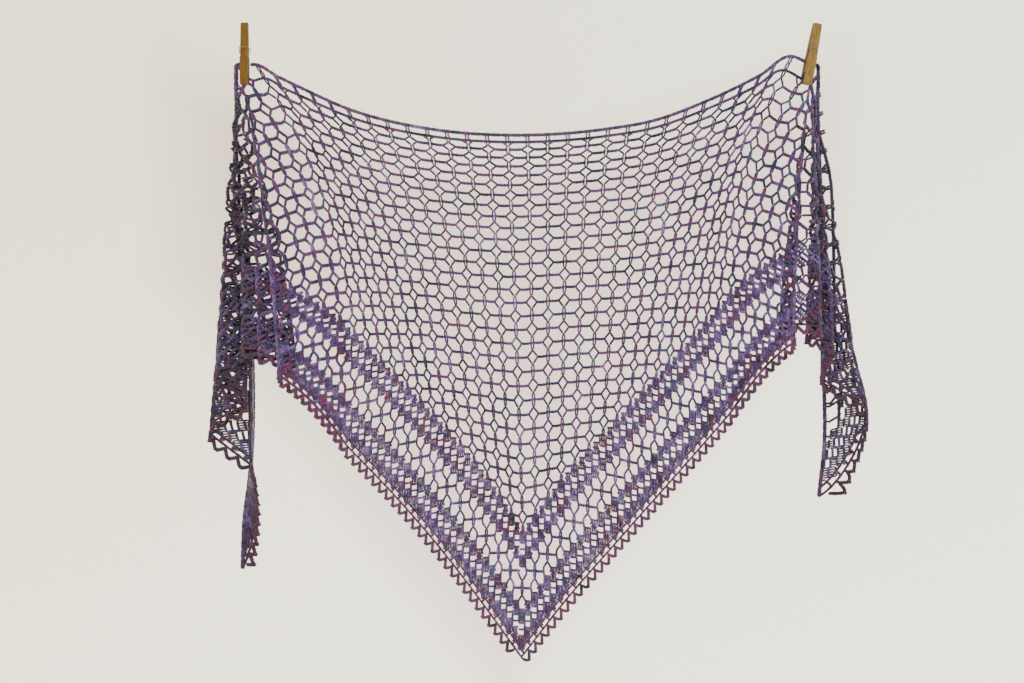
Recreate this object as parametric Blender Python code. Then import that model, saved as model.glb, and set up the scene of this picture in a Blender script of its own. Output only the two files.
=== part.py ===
"""A crocheted triangular lace shawl hung by its long edge from two wooden clothes pegs.

The cloth is charted flat first: u counts crochet columns from the middle of the long edge and v counts
half-rows down from it, so the hem is where |u| + v reaches HEM_ROWS. Every point of the chart is then draped:
between the pegs as one hanging panel, and outside each peg as a fall folded to and fro like a fan.
The frame is metres with +Z up. The pegs sit on the X axis and the cloth faces -Y.
"""
import math

import bmesh
import bpy
import numpy as np
from mathutils import Matrix, Vector

# The flat cut, in metres and stitches
COLUMN = 0.021
HALF_ROW = 0.017
FIELD_ROWS = 32.0
STAR_ROWS = (33.7, 35.05, 36.4)
EDGING_ROWS = 38.2
CHAIN_ROWS = 39.05
VALLEY_ROWS = 39.72
HEM_ROWS = 40.0
CORNER_COLUMNS = 39.3

# The walls
CLOTH = 0.0012
CORD_RADIUS = 0.0012
SEAM = 0.0003
SEAM_ROWS = 0.018

# Where the pegs hold the long edge
PEG_COLUMN = {"left": -13.6, "right": 16.0}
PEG_X = {"left": -0.3283, "right": 0.3294}
OUTWARD = {"left": -1.0, "right": 1.0}

# The hanging panel. Each row: column u, then x and z in millimetres.
LONG_EDGE = (
    (-13.6, -328.3, -7.0),
    (-13.15, -317.8, -4.6),
    (-10.67, -265.6, -30.2),
    (-7.76, -203.0, -58.0),
    (-3.56, -106.7, -80.6),
    (0.34, -15.1, -87.0),
    (5.18, 98.6, -78.9),
    (7.14, 143.8, -70.8),
    (10.04, 207.6, -47.6),
    (12.97, 270.3, -17.4),
    (15.0, 308.0, 4.8),
    (16.0, 329.4, -4.6),
)
# Each row: distance |u| from the middle column, then x and z of the field's end and of the hem, in millimetres.
LEFT_V = (
    (0.0, -4.6, -546.4, -7.0, -707.6),
    (3.0, -51.0, -476.8, -58.5, -637.4),
    (6.0, -97.4, -423.4, -110.2, -569.0),
    (10.0, -158.9, -359.6, -178.6, -493.0),
    (13.6, -214.6, -303.9, -235.5, -437.3),
)
RIGHT_V = (
    (0.0, -4.6, -546.4, -7.0, -707.6),
    (3.0, 41.8, -484.9, 44.5, -642.1),
    (7.0, 103.2, -418.4, 113.2, -563.2),
    (12.0, 180.5, -335.0, 199.1, -467.5),
    (16.0, 241.5, -264.0, 259.5, -398.0),
)
SLACK = 0.42
BOW = 0.35

# The falls. A fall is charted from its peg: r is the distance along the cloth and theta the angle from straight
# down (0) to the long edge (90). Each row is one fold: its angle, how much the cloth there stretches, and how
# far it stands outward of the peg, in millimetres, at each distance r of FALL_LEVELS.
FALL_LEVELS = (34.0, 130.0, 330.0, 430.0, 490.0, 550.0)
LEFT_FOLDS = (
    (13.5, 1.00, (-2.3, -16.0, -38.0, -42.0, -42.0, -42.0)),
    (20.0, 1.00, (-1.7, -21.0, -57.0, -58.0, -58.0, -58.0)),
    (33.0, 1.00, (-1.2, -9.0, -20.0, -21.0, -21.0, -21.0)),
    (41.0, 0.97, (0.0, -12.0, -38.0, -40.0, -40.0, -40.0)),
    (50.0, 0.98, (1.7, 3.5, 4.6, 5.0, 5.0, 5.0)),
    (57.0, 1.02, (3.5, 2.3, -6.0, -3.0, -3.0, -3.0)),
    (66.0, 1.07, (7.0, 19.7, 37.0, 46.0, 51.0, 51.0)),
    (79.0, 1.07, (8.0, 10.4, -3.5, -3.0, -10.0, -6.0)),
    (90.0, 1.07, (9.3, 15.0, -3.5, -3.5, 5.0, 2.0)),
)
RIGHT_FOLDS = (
    (17.5, 1.00, (-2.3, -10.5, -18.5, -14.0, -14.0, -14.0)),
    (25.0, 0.99, (-1.2, -16.0, -36.0, -36.0, -36.0, -36.0)),
    (41.0, 1.00, (1.2, 7.0, 13.0, 13.0, 13.0, 13.0)),
    (50.0, 1.00, (2.3, 2.3, -3.5, -3.5, -3.5, -3.5)),
    (60.0, 1.00, (4.6, 14.0, 28.0, 28.0, 28.0, 28.0)),
    (70.0, 1.00, (5.5, 9.3, 15.0, 15.0, 15.0, 15.0)),
    (81.0, 1.01, (8.5, 26.0, 52.0, 66.7, 41.0, 15.0)),
    (90.0, 1.01, (9.3, 14.0, 17.4, 19.0, 12.5, 9.0)),
)
FOLDS = {"left": LEFT_FOLDS, "right": RIGHT_FOLDS}
FALL_TOP = -0.0023
JAW_REACH = 34.0
JAW_DEPTH = 5.2
SPREAD = 9.0
PASS_DEPTH = 5.6
OPENING_LENGTH = 30.0
TURN_SHARE = 0.2
SLANT = 0.14
# The left fall's last pass turns edge-on and back: its depth in millimetres at each distance of FALL_LEVELS.
LEFT_RETURN = (0.6, 9.0, 22.0, 24.0, 5.0, 3.0)

# The gathered bunch in and just below each peg, as far down as the falls' folds are too tight to part.
# Each row: height, how far it stands inward and outward of the peg, and its front and back, in millimetres.
GATHER_SHARE = 0.2
BUNCH_GAP = 0.0011
LEFT_BUNCH = (
    (-2.6, -3.0, 8.4, -1.6, 3.6),
    (-14.0, -3.4, 9.4, -1.6, 3.7),
    (-29.0, -3.8, 10.4, -1.6, 3.8),
    (-42.0, -5.5, 12.0, -1.6, 10.0),
    (1.0, -8.6, 14.0, -1.6, 23.0),
)
RIGHT_BUNCH = (
    (-2.6, -3.0, 8.4, -1.6, 3.0),
    (-14.0, -3.4, 10.4, -1.6, 3.2),
    (-29.0, -3.8, 12.4, -1.6, 3.2),
    (-40.0, -4.6, 14.0, -1.6, 8.0),
    (1.0, -6.0, 16.0, -1.6, 15.0),
)
BUNCHES = {"left": LEFT_BUNCH, "right": RIGHT_BUNCH}

# The pegs, in metres
PEG_TURN = {"left": 0.0, "right": 10.0}
PEG_LEAN = {"left": 0.0, "right": 11.0}
SPRING_HEIGHT = 0.007
COIL_RADIUS = 0.0023
WIRE_RADIUS = 0.0006
COIL_TURNS = 3

MM = 0.001


def smooth_table(x, xs, ys):
    """Smooth curve through the table's points, held at its ends."""
    xs = np.asarray(xs, float)
    ys = np.asarray(ys, float)
    slopes = np.gradient(ys, xs)
    i = np.clip(np.searchsorted(xs, x) - 1, 0, len(xs) - 2)
    step = xs[i + 1] - xs[i]
    t = np.clip((x - xs[i]) / step, 0.0, 1.0)
    rise = t * t * (3 - 2 * t)
    lead_in = t * (1 - t) ** 2 * step * slopes[i]
    lead_out = t * t * (t - 1) * step * slopes[i + 1]
    return ys[i] + (ys[i + 1] - ys[i]) * rise + lead_in + lead_out


def ease(t):
    t = np.clip(t, 0.0, 1.0)
    return t * t * (3 - 2 * t)


def drape_panel(u, v):
    """The stretch between the pegs."""
    low, high = PEG_COLUMN["left"], PEG_COLUMN["right"]
    u = np.clip(u, low, high)
    edge = np.array(LONG_EDGE).T
    top_x = smooth_table(u, edge[0], edge[1])
    top_z = smooth_table(u, edge[0], edge[2])
    left = [smooth_table(-u, np.array(LEFT_V)[:, 0], np.array(LEFT_V)[:, i]) for i in (1, 2, 3, 4)]
    right = [smooth_table(u, np.array(RIGHT_V)[:, 0], np.array(RIGHT_V)[:, i]) for i in (1, 2, 3, 4)]
    end_x, end_z, hem_x, hem_z = [np.where(u < 0, a, b) for a, b in zip(left, right)]
    rows = FIELD_ROWS - np.abs(u)
    down = np.clip(v / rows, 0.0, 1.0)
    across = (u - low) / (high - low)
    side = (2 * across - 1) ** 2
    even = 1 - SLACK * (1 - side)
    t = even * down + (1 - even) * down ** 2
    bowed = t + BOW * side * t * (1 - t)
    past = np.maximum(v - rows, 0.0) / (HEM_ROWS - FIELD_ROWS)
    x = top_x + (end_x - top_x) * bowed + (hem_x - end_x) * past
    z = top_z + (end_z - top_z) * t + (hem_z - end_z) * past
    belly = np.sin(np.pi * across)
    low_share = v / HEM_ROWS
    ripple = 3.0 * np.sin(0.9 * u + 0.6) * low_share ** 2
    y = -JAW_DEPTH / 2 - belly * (4.0 + 7.0 * low_share + ripple)
    return np.stack([x, y, z], axis=-1) * MM


def pass_shape(w, ratio, first, last):
    """How far along and how far back one pass of a fold runs: a quarter turn, a slant, a quarter turn."""
    turn = np.minimum(0.38, 0.5 / np.maximum(ratio, 1e-6))
    go_in = 0.0 if first else TURN_SHARE
    go_out = 0.0 if last else TURN_SHARE
    start_x = 0.0 if first else turn
    end_x = 1.0 if last else 1.0 - turn
    enter = 0.0 if first else (1.0 if last else 0.5 - SLANT)
    leave = 0.0 if first else (1.0 if last else 0.5 + SLANT)
    share = (w - go_in) / (1.0 - go_in - go_out)
    along = start_x + (end_x - start_x) * share
    back = enter + (leave - enter) * share
    if not first:
        angle = np.clip(w / TURN_SHARE, 0.0, 1.0) * np.pi / 2
        along = np.where(w < TURN_SHARE, turn * (1 - np.cos(angle)), along)
        back = np.where(w < TURN_SHARE, enter * np.sin(angle), back)
    if not last:
        angle = np.clip((1 - w) / TURN_SHARE, 0.0, 1.0) * np.pi / 2
        along = np.where(w > 1 - TURN_SHARE, 1 - turn * (1 - np.cos(angle)), along)
        back = np.where(w > 1 - TURN_SHARE, 1 - (1 - leave) * np.sin(angle), back)
    return along, back


def hem_angle(r, side):
    """The angle, in degrees, at which the hem crosses distance r on the long edge's side."""
    rows = HEM_ROWS - abs(PEG_COLUMN[side])
    pull = math.hypot(1 / COLUMN, 1 / HALF_ROW)
    lean = math.atan2(1 / COLUMN, 1 / HALF_ROW)
    closest = np.clip(rows / (pull * np.maximum(r * MM, 1e-6)), -1.0, 1.0)
    return np.degrees(lean + np.arccos(closest))


def drape_fall(u, v, side):
    """The folded fall outside one peg."""
    folds = FOLDS[side]
    angles = [0.0] + [row[0] for row in folds]
    stretch = [1.0] + [row[1] for row in folds]
    aside = np.maximum((u - PEG_COLUMN[side]) * OUTWARD[side], 0.0) * COLUMN / MM
    below = np.maximum(v, 0.0) * HALF_ROW / MM
    r = np.hypot(aside, below)
    theta = np.clip(np.degrees(np.arctan2(aside, below)), 0.0, 90.0)

    spread = np.clip(r / SPREAD, 0.0, 1.0)
    places = [spread * smooth_table(r, FALL_LEVELS, row[2]) for row in folds]
    seam = drape_panel(np.full_like(r, PEG_COLUMN[side]), below * 0 + r * MM / HALF_ROW) / MM
    places.insert(0, (seam[..., 0] - PEG_X[side] / MM) * OUTWARD[side])

    passes = len(folds)
    full = JAW_DEPTH / (passes - 1)
    opened = 1 - np.exp(-np.maximum(r - JAW_REACH, 0.0) / OPENING_LENGTH)
    depth = full + (PASS_DEPTH - full) * opened
    out = np.zeros_like(r)
    back = np.zeros_like(r)
    begun = np.zeros_like(r)
    folded = ease((r - JAW_REACH) / 18.0)
    for k in range(passes):
        first = k == 0
        last = k == passes - 1
        if last and side == "left":
            run = smooth_table(r, FALL_LEVELS, LEFT_RETURN)
        else:
            run = depth * (0.5 if first or last else 1.0)
        start = np.full_like(r, angles[k])
        if last:
            start = np.minimum(np.maximum(start, hem_angle(r, side)), 89.5)
        w = np.clip((theta - start) / (angles[k + 1] - start), 0.0, 1.0)
        step = places[k + 1] - places[k]
        if last and side == "left":
            along, deep = w, w
        else:
            radius = depth / 2
            ratio = np.abs(step) / (2 * radius)
            along, deep = pass_shape(w, ratio, first, last)
            along = w + (along - w) * folded
            deep = w + (deep - w) * folded
        here = (theta >= angles[k]) & (theta <= angles[k + 1])
        out = np.where(here, places[k] + step * along, out)
        back = np.where(here, begun + run * deep, back)
        begun = begun + run
    at_jaw = np.interp(theta, angles, [0.0] + [abs(row[2][0]) for row in folds])
    taken = 0.6 * at_jaw * spread
    fall_z = FALL_TOP / MM - smooth_table(theta, angles, stretch) * (r - taken)
    joined = ease(theta / angles[1])
    z = seam[..., 2] + (fall_z - seam[..., 2]) * joined
    x = PEG_X[side] / MM + OUTWARD[side] * out
    y = seam[..., 1] + back
    return np.stack([x, y, z], axis=-1) * MM


def drape(u, v):
    """Where each point of the flat chart hangs."""
    u = np.asarray(u, float)
    v = np.asarray(v, float)
    panel = drape_panel(u, v)
    left = drape_fall(u, v, "left")
    right = drape_fall(u, v, "right")
    point = np.where((u < PEG_COLUMN["left"])[..., None], left, panel)
    return np.where((u > PEG_COLUMN["right"])[..., None], right, point)


def material(name, colour, roughness, metallic=0.0):
    made = bpy.data.materials.new(name)
    made.use_nodes = True
    shader = made.node_tree.nodes["Principled BSDF"]
    shader.inputs["Base Color"].default_value = (*colour, 1.0)
    shader.inputs["Roughness"].default_value = roughness
    shader.inputs["Metallic"].default_value = metallic
    made.diffuse_color = (*colour, 1.0)
    return made


def add_object(name, bm, finish):
    mesh = bpy.data.meshes.new(name)
    bm.to_mesh(mesh)
    bm.free()
    mesh.materials.append(finish)
    made = bpy.data.objects.new(name, mesh)
    bpy.context.collection.objects.link(made)
    return made


def cloth_wall(name, chart_points, faces, finish):
    """A thin wall through charted points (u, v), one face for each list of point numbers."""
    u, v = np.array(chart_points).T
    bm = bmesh.new()
    points = [bm.verts.new(Vector(p)) for p in drape(u, v)]
    for face in faces:
        bm.faces.new([points[i] for i in face])
    bmesh.ops.recalc_face_normals(bm, faces=bm.faces)
    made = add_object(name, bm, finish)
    wall = made.modifiers.new("wall", "SOLIDIFY")
    wall.thickness = CLOTH
    wall.offset = 0.0
    return made


class Chart:
    """Points and faces on the flat chart; points that fall together are one point."""

    def __init__(self):
        self.points = []
        self.index = {}
        self.faces = []

    def point(self, u, rows):
        key = (round(u, 4), round(rows, 4))
        if key not in self.index:
            self.index[key] = len(self.points)
            self.points.append((u, rows - abs(u)))
        return self.index[key]

    def face(self, *corners):
        self.faces.append([self.point(u, rows) for u, rows in corners])


def grid_faces(count_across, count_down):
    return [
        (i * count_down + j, (i + 1) * count_down + j, (i + 1) * count_down + j + 1, i * count_down + j + 1)
        for i in range(count_across - 1)
        for j in range(count_down - 1)
    ]


# Shares of the way from the long edge, or from the peg, to the field's end
FIELD_STEPS = (0.0, 0.045, 0.09, 0.14, 0.2, 0.28, 0.39, 0.52, 0.68, 0.84, 1.0)
STAR_PITCH = 0.8
PICOT_PITCH = 0.5
END_GAP = 0.15 * MM / COLUMN
CORD_START = 0.5


def field_front(finish):
    """The open lattice between the pegs."""
    low, high = PEG_COLUMN["left"], PEG_COLUMN["right"]
    columns = [low + END_GAP]
    columns += [k * STAR_PITCH for k in range(math.ceil(low / STAR_PITCH) + 1, math.floor(high / STAR_PITCH))]
    columns += [high - END_GAP]
    columns = sorted(columns)
    points = []
    for u in columns:
        rows = FIELD_ROWS - SEAM_ROWS - abs(u)
        points += [(u, max(share, 0.0) * rows) for share in FIELD_STEPS]
    return cloth_wall("field_front", points, grid_faces(len(columns), len(FIELD_STEPS)), finish)


def fall_angles(side):
    """The angles of a fall's charted lines: the folds, and the shoulders of each turn."""
    stops = [0.0] + [row[0] for row in FOLDS[side]]
    angles = [0.0]
    for k, (start, end) in enumerate(zip(stops, stops[1:])):
        shares = [0.1, 0.2, 0.8, 0.9, 1.0]
        if k == 0:
            shares = [0.4, 0.8, 0.9, 1.0]
        angles += [start + (end - start) * s for s in shares]
    return angles


def fall_distance(side, angle, rows_out):
    """Distance from the peg, along the cloth, at which |u| + v reaches rows_out."""
    a = math.radians(angle)
    return (rows_out - abs(PEG_COLUMN[side])) / (math.sin(a) / COLUMN + math.cos(a) / HALF_ROW)


def polar_point(side, angle, r):
    """Chart point (u, v) at an angle and a distance from the peg."""
    a = math.radians(angle)
    aside = max(r * math.sin(a), END_GAP * COLUMN)
    return PEG_COLUMN[side] + OUTWARD[side] * aside / COLUMN, r * math.cos(a) / HALF_ROW


def fall_point(side, angle, rows_out):
    return polar_point(side, angle, fall_distance(side, angle, rows_out))


def gather_distance(side, angle):
    """Where the folds part: one level line, so that the bunch above ends in a flat face."""
    level = GATHER_SHARE * fall_distance(side, 0.0, FIELD_ROWS)
    if angle <= FOLDS[side][0][0] * 0.8:
        return level
    folds = FOLDS[side]
    at_jaw = np.interp(angle, [row[0] for row in folds], [abs(row[2][0]) for row in folds])
    stretch = smooth_table(angle, [0.0] + [row[0] for row in folds], [1.0] + [row[1] for row in folds])
    return (level + 0.6 * at_jaw * MM) / stretch


def fall(side, finish):
    """One fall below its bunch: lattice, bands, edging and picots, and the flat strip that joins the panel."""
    angles = fall_angles(side)
    lower = [s for s in FIELD_STEPS if s >= GATHER_SHARE]
    bands = (34.6, 36.6, EDGING_ROWS, CHAIN_ROWS + 0.4)
    points = []
    for angle in angles:
        start = gather_distance(side, angle)
        reach = fall_distance(side, angle, FIELD_ROWS) - start
        for share in lower:
            points.append(polar_point(side, angle, start + reach * (share - GATHER_SHARE) / (1 - GATHER_SHARE)))
        points += [fall_point(side, angle, rows) for rows in bands]
    count = len(lower) + len(bands)
    faces = grid_faces(len(angles), count)
    for i in range(len(angles) - 1):
        start, end = angles[i], angles[i + 1]
        across = abs(fall_point(side, end, HEM_ROWS)[0]) - abs(fall_point(side, start, HEM_ROWS)[0])
        teeth = round(across / PICOT_PITCH)
        if teeth < 1:
            continue
        outline = []
        for tooth in range(teeth):
            for share, rows in ((0.5, HEM_ROWS + 0.1), (1.0, VALLEY_ROWS)):
                if tooth == teeth - 1 and share == 1.0:
                    continue
                outline.append(len(points))
                points.append(fall_point(side, start + (end - start) * (tooth + share) / teeth, rows))
        faces.append([(i + 1) * count - 1, (i + 2) * count - 1] + outline[::-1])
    upper = [s for s in FIELD_STEPS if 0 < s < GATHER_SHARE]
    strip = angles[:3]
    first = len(points)
    full = fall_distance(side, 0.0, FIELD_ROWS)
    for angle in strip:
        points += [polar_point(side, angle, full * share) for share in upper]
    for i in range(len(strip) - 1):
        a = first + i * len(upper)
        b = a + len(upper)
        faces += [(a + j, b + j, b + j + 1, a + j + 1) for j in range(len(upper) - 1)]
        faces.append((b - 1, b + len(upper) - 1, (i + 1) * count, i * count))
    return cloth_wall("fall_%s" % side, points, faces, finish)


def bunch(side, finish):
    """The cloth gathered tight in the peg and just below it."""
    level = GATHER_SHARE * fall_distance(side, 0.0, FIELD_ROWS)
    floor = FALL_TOP - level + BUNCH_GAP
    bm = bmesh.new()
    rings = []
    for height, inward, outward, front, back in BUNCHES[side]:
        z = floor if height > 0 else height * MM
        soft = min(back - front, outward - inward) * 0.25
        outline = (
            (inward + soft, front), (outward - soft, front), (outward, front + soft), (outward, back - soft),
            (outward - soft, back), (inward + soft, back), (inward, back - soft), (inward, front + soft),
        )
        ring = [
            bm.verts.new((PEG_X[side] + OUTWARD[side] * out * MM, y * MM, z)) for out, y in outline
        ]
        rings.append(ring)
    for low, high in zip(rings, rings[1:]):
        for i in range(8):
            bm.faces.new((low[i], low[(i + 1) % 8], high[(i + 1) % 8], high[i]))
    bm.faces.new(rings[0])
    bm.faces.new(rings[-1])
    bmesh.ops.recalc_face_normals(bm, faces=bm.faces)
    return add_object("bunch_%s" % side, bm, finish)


def oval_tile(chart, left, u, right, low, high, width, height):
    """A stretch of border with one long six-sided gap cut through it, centred on column u."""
    rows = (low + high) / 2
    half_u = (right - left) * width / 2
    half_rows = (high - low) * height / 2
    foot = (u, rows - half_rows)
    head = (u, rows + half_rows)
    near = [(u + sign * half_u, rows - half_rows * 0.45) for sign in (-1, 1)]
    far = [(u + sign * half_u, rows + half_rows * 0.45) for sign in (-1, 1)]
    base = (u, low)
    peak = (u, high)
    for sign, side_u in ((0, left), (1, right)):
        chart.face(base, (side_u, low), near[sign], foot)
        chart.face((side_u, low), (side_u, high), far[sign], near[sign])
        chart.face((side_u, high), peak, head, far[sign])


def loop_tile(chart, left, right, low, high, share):
    """A stretch of edging with one four-sided gap cut through it."""
    u = (left + right) / 2
    rows = (low + high) / 2
    wide = (right - left) * share / 2
    tall = (high - low) * share / 2
    outer = ((left, low), (right, low), (right, high), (left, high))
    inner = (
        (u - wide, rows - tall * 0.8), (u + wide, rows - tall * 0.8),
        (u + wide * 0.8, rows + tall), (u - wide * 0.8, rows + tall),
    )
    for i in range(4):
        j = (i + 1) % 4
        chart.face(outer[i], outer[j], inner[j], inner[i])


def border_front(finish):
    """Dense band, two rows of large star gaps, dense band, mitred at the middle column."""
    chart = Chart()
    low = round(PEG_COLUMN["left"] / (STAR_PITCH / 2))
    high = round(PEG_COLUMN["right"] / (STAR_PITCH / 2))
    half = STAR_PITCH / 2

    def column(k):
        if k == low:
            return PEG_COLUMN["left"] + END_GAP
        if k == high:
            return PEG_COLUMN["right"] - END_GAP
        return k * half

    for inner, outer in ((FIELD_ROWS + SEAM_ROWS, STAR_ROWS[0]), (STAR_ROWS[2], EDGING_ROWS - SEAM_ROWS)):
        for k in range(low, high):
            chart.face(
                (column(k), inner), (column(k + 1), inner), (column(k + 1), outer), (column(k), outer)
            )
    for row, (inner, outer) in enumerate(zip(STAR_ROWS, STAR_ROWS[1:])):
        first = low + (low + row) % 2
        for k in range(first, high - 1, 2):
            oval_tile(chart, column(k), column(k + 1), column(k + 2), inner, outer, 0.66, 0.76)
        if first > low:
            chart.face((column(low), inner), (column(first), inner), (column(first), outer), (column(low), outer))
        end = first + 2 * len(range(first, high - 1, 2))
        if end < high:
            chart.face((column(end), inner), (column(high), inner), (column(high), outer), (column(end), outer))
    return cloth_wall("border_front", chart.points, chart.faces, finish)


def edging_front(finish):
    """Two rows of looped gaps either side of a chain line, and a picot at each loop."""
    chart = Chart()
    inner = EDGING_ROWS + SEAM_ROWS
    first = math.ceil(PEG_COLUMN["left"] / PICOT_PITCH)
    last = math.floor(PEG_COLUMN["right"] / PICOT_PITCH)
    columns = [k * PICOT_PITCH for k in range(first, last + 1)]
    columns[-1] -= END_GAP
    for left, right in zip(columns, columns[1:]):
        u = (left + right) / 2
        loop_tile(chart, left, right, inner, CHAIN_ROWS, 0.76)
        loop_tile(chart, left, right, CHAIN_ROWS, VALLEY_ROWS, 0.7)
        chart.face((left, VALLEY_ROWS), (right, VALLEY_ROWS), (u, HEM_ROWS + 0.1))
    end = PEG_COLUMN["left"] + END_GAP
    chart.face((end, inner), (columns[0], inner), (columns[0], CHAIN_ROWS), (end, CHAIN_ROWS))
    chart.face((end, CHAIN_ROWS), (columns[0], CHAIN_ROWS), (columns[0], VALLEY_ROWS), (end, VALLEY_ROWS))
    return cloth_wall("edging_front", chart.points, chart.faces, finish)


def edge_cord(name, columns, finish):
    """The thick cord along the long edge, just clear of the cloth's own edge."""
    u = np.array(columns)
    edge = drape(u, np.zeros_like(u))
    inside = drape(u, np.full_like(u, 0.12))
    outward = edge - inside
    along = np.gradient(edge, axis=0)
    along /= np.linalg.norm(along, axis=1)[:, None]
    outward -= along * np.sum(along * outward, axis=1)[:, None]
    outward /= np.linalg.norm(outward, axis=1)[:, None]
    path = edge + outward * (CORD_RADIUS + 2 * SEAM)
    return tube(name, path, CORD_RADIUS, finish)


def tube(name, path, radius, finish, resolution=1):
    curve = bpy.data.curves.new(name, "CURVE")
    curve.dimensions = "3D"
    curve.bevel_depth = radius
    curve.bevel_resolution = resolution
    curve.use_fill_caps = True
    spline = curve.splines.new("POLY")
    spline.points.add(len(path) - 1)
    for point, place in zip(spline.points, path):
        point.co = (*place, 1.0)
    curve.materials.append(finish)
    made = bpy.data.objects.new(name, curve)
    bpy.context.collection.objects.link(made)
    return made


# A peg leg from the side. Each row: height above the line, its inner and outer face from the middle, and half
# its width, in millimetres.
LEG_SECTIONS = (
    (-28.0, 4.2, 7.6, 4.6),
    (-26.0, 4.2, 8.4, 5.0),
    (-6.0, 4.2, 10.2, 5.0),
    (3.0, 3.5, 10.2, 5.0),
    (5.0, 3.4, 10.2, 4.4),
    (10.0, 3.3, 9.9, 4.4),
    (42.0, 1.3, 6.0, 4.3),
    (44.0, 1.3, 5.0, 3.9),
)
LEG_FACE = 10.2


def peg_frame(side):
    turn = Matrix.Rotation(math.radians(PEG_TURN[side]), 4, "Z")
    lean = Matrix.Rotation(math.radians(PEG_LEAN[side]), 4, "Y")
    return Matrix.Translation((PEG_X[side], 0.0, 0.0)) @ lean @ turn


def peg_leg(side, face, finish):
    """One wooden leg, front (-1) or back (+1)."""
    bm = bmesh.new()
    rings = []
    for height, inner, outer, half_width in LEG_SECTIONS:
        near = face * inner * MM
        far = face * outer * MM
        corners = ((-1, near), (1, near), (1, far), (-1, far))
        rings.append([bm.verts.new((sign * half_width * MM, y, height * MM)) for sign, y in corners])
    for low, high in zip(rings, rings[1:]):
        for i in range(4):
            bm.faces.new((low[i], low[(i + 1) % 4], high[(i + 1) % 4], high[i]))
    bm.faces.new(rings[0])
    bm.faces.new(rings[-1])
    bmesh.ops.recalc_face_normals(bm, faces=bm.faces)
    bmesh.ops.transform(bm, matrix=peg_frame(side), verts=bm.verts)
    name = "peg_%s_%s_leg" % (side, "front" if face < 0 else "back")
    return add_object(name, bm, finish)


def peg_spring(side, finish):
    """The wire spring: a coil between the legs, and an arm hooked over each leg."""
    half_coil = 3.2 * MM
    beside = 5.8 * MM
    hook_height = 15.0 * MM
    outer = LEG_FACE * MM + WIRE_RADIUS + SEAM
    corner = 1.6 * MM
    centre = SPRING_HEIGHT
    path = [(beside * 0.5, -outer, hook_height), (corner - beside, -outer, hook_height)]
    path += [(corner * 0.3 - beside, corner * 0.3 - outer, hook_height), (-beside, corner - outer, hook_height)]
    path += [(-beside, -COIL_RADIUS * 1.2, centre + COIL_RADIUS)]
    steps = 8 * COIL_TURNS
    for i in range(steps + 1):
        angle = math.pi * 0.5 + 2 * math.pi * i / 8
        x = -half_coil + 2 * half_coil * i / steps
        path.append((x, COIL_RADIUS * math.cos(angle), centre + COIL_RADIUS * math.sin(angle)))
    path += [(beside, COIL_RADIUS * 1.2, centre + COIL_RADIUS), (beside, outer - corner, hook_height)]
    path += [(beside - corner * 0.3, outer - corner * 0.3, hook_height), (beside - corner, outer, hook_height)]
    path += [(-beside * 0.5, outer, hook_height)]
    frame = peg_frame(side)
    return tube("peg_%s_spring" % side, [frame @ Vector(p) for p in path], WIRE_RADIUS, finish)


def build():
    for old in list(bpy.data.objects):
        bpy.data.objects.remove(old, do_unlink=True)
    lattice = material("violet_crochet", (0.13, 0.09, 0.22), 0.85)
    bands = material("navy_plum_crochet", (0.10, 0.07, 0.20), 0.85)
    picots = material("plum_picots", (0.17, 0.06, 0.16), 0.85)
    wood = material("peg_wood", (0.42, 0.28, 0.10), 0.6)
    steel = material("peg_wire", (0.55, 0.54, 0.50), 0.35, 1.0)

    field_front(lattice)
    border_front(bands)
    edging_front(picots)
    for side in ("left", "right"):
        fall(side, lattice)

    low, high = PEG_COLUMN["left"], PEG_COLUMN["right"]
    edge_cord("edge_cord_front", np.linspace(low + CORD_START, high - CORD_START, 60), lattice)
    for side in ("left", "right"):
        bunch(side, lattice)
        start = gather_distance(side, 90.0) / COLUMN + 0.05
        end = CORNER_COLUMNS - abs(PEG_COLUMN[side])
        columns = PEG_COLUMN[side] + OUTWARD[side] * np.linspace(start, end, 18)
        edge_cord("edge_cord_%s" % side, columns, lattice)
        peg_leg(side, -1, wood)
        peg_leg(side, 1, wood)
        peg_spring(side, steel)


build()
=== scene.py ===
import math

import bpy
import bmesh
import numpy as np
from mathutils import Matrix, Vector


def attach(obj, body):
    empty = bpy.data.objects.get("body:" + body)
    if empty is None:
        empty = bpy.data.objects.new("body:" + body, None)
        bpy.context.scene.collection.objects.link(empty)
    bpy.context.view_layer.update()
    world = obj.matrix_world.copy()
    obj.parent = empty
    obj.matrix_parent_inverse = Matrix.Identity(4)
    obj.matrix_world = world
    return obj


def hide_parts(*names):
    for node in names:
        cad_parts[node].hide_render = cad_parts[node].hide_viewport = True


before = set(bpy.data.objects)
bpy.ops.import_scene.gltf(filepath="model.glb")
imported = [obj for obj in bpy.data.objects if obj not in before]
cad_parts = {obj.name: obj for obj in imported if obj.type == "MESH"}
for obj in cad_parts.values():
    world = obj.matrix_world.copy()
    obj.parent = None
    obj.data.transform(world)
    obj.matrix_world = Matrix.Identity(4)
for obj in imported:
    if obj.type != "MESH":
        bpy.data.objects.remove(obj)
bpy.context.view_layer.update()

# The lace is drawn stitch by stitch on the flat chart of the CAD part: u counts columns from the middle of
# the long edge, v counts half-rows down, and a line along the hem is where |u| + v is constant. Each strand
# of yarn is then draped over the shape of the CAD's cloth.

# The flat cut, in metres and stitches, as in the CAD part
COLUMN = 0.021
HALF_ROW = 0.017
FIELD_ROWS = 32.0
HEM_ROWS = 40.0
CORNER_COLUMNS = 39.3
MM = 0.001

# Where the pegs hold the long edge
PEG_COLUMN = {"left": -13.6, "right": 16.0}
PEG_X = {"left": -0.3283, "right": 0.3294}
OUTWARD = {"left": -1.0, "right": 1.0}

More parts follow.
